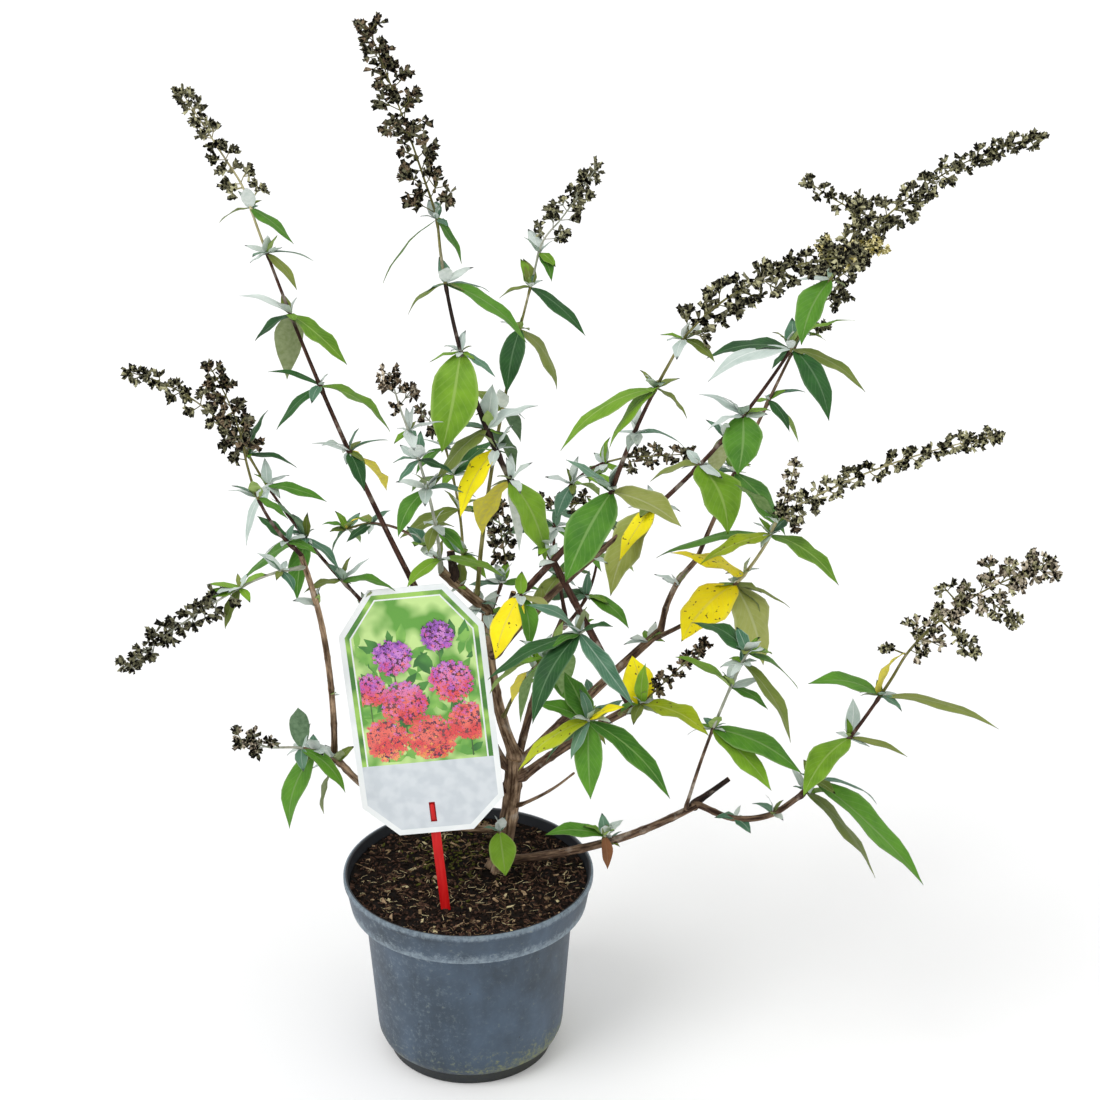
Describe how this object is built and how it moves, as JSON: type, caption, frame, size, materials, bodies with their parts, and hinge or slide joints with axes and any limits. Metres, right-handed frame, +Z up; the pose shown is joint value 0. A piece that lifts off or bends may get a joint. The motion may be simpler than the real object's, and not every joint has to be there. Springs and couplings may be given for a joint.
{
  "type": "potted butterfly bush",
  "caption": "Whole butterfly bush in a round nursery pot: leaning trunk, open spreading boughs, drooping pointed leaves, dried flower spikes and a blank-text picture label on a stick.",
  "frame": {"origin": "middle of the pot's flat underside", "axes": "+Z up along the pot's axis, -Y towards the viewer of the picture, +X to the viewer's right"},
  "size_m": [0.6697, 0.3562, 0.7909],
  "materials": {
    "pot_plastic": "weathered blue-grey moulded plastic",
    "potting_soil": "dark peat potting soil",
    "label_print": "printed plastic card",
    "stick_plastic": "red moulded plastic",
    "trunk_bark": "fibrous brown bark",
    "bough_bark": "red-brown bark",
    "foliage": "green and yellow leaves"
  },
  "bodies": {
    "root": {"pot": "pot_plastic", "soil": "potting_soil", "label_card": "label_print", "label_stick": "stick_plastic", "trunk": "trunk_bark", "right_bough": "bough_bark", "upper_right_bough": "bough_bark", "rear_bough": "bough_bark", "upper_rear_bough": "bough_bark", "centre_bough": "bough_bark", "crown_bough": "bough_bark", "front_bough": "bough_bark", "middle_bough": "bough_bark", "left_bough": "bough_bark", "side_bough": "bough_bark", "low_left_bough": "bough_bark", "outer_left_bough": "bough_bark", "low_right_bough": "bough_bark", "outer_right_bough": "bough_bark", "back_bough": "bough_bark", "dead_twig": "bough_bark", "right_stub": "bough_bark", "centre_stub": "bough_bark", "crown_stub": "bough_bark", "high_left_spray": "foliage", "tall_spray": "foliage", "upright_spray": "foliage", "front_right_spray": "foliage", "far_right_spray": "foliage", "inner_right_spray": "foliage", "right_spray": "foliage", "low_right_spray": "foliage", "pale_right_spray": "foliage", "left_spray": "foliage", "near_left_spray": "foliage", "drooping_left_spray": "foliage", "low_left_spray": "foliage", "leafy_left_spray": "foliage", "inner_left_spray": "foliage", "rear_left_spray": "foliage", "lower_front_spray": "foliage", "front_spray": "foliage", "short_right_spray": "foliage", "rear_spray": "foliage", "rear_right_spray": "foliage", "short_inner_spray": "foliage", "centre_tuft": "foliage", "foot_tuft": "foliage", "low_right_tuft": "foliage"}
  },
  "joints": []
}
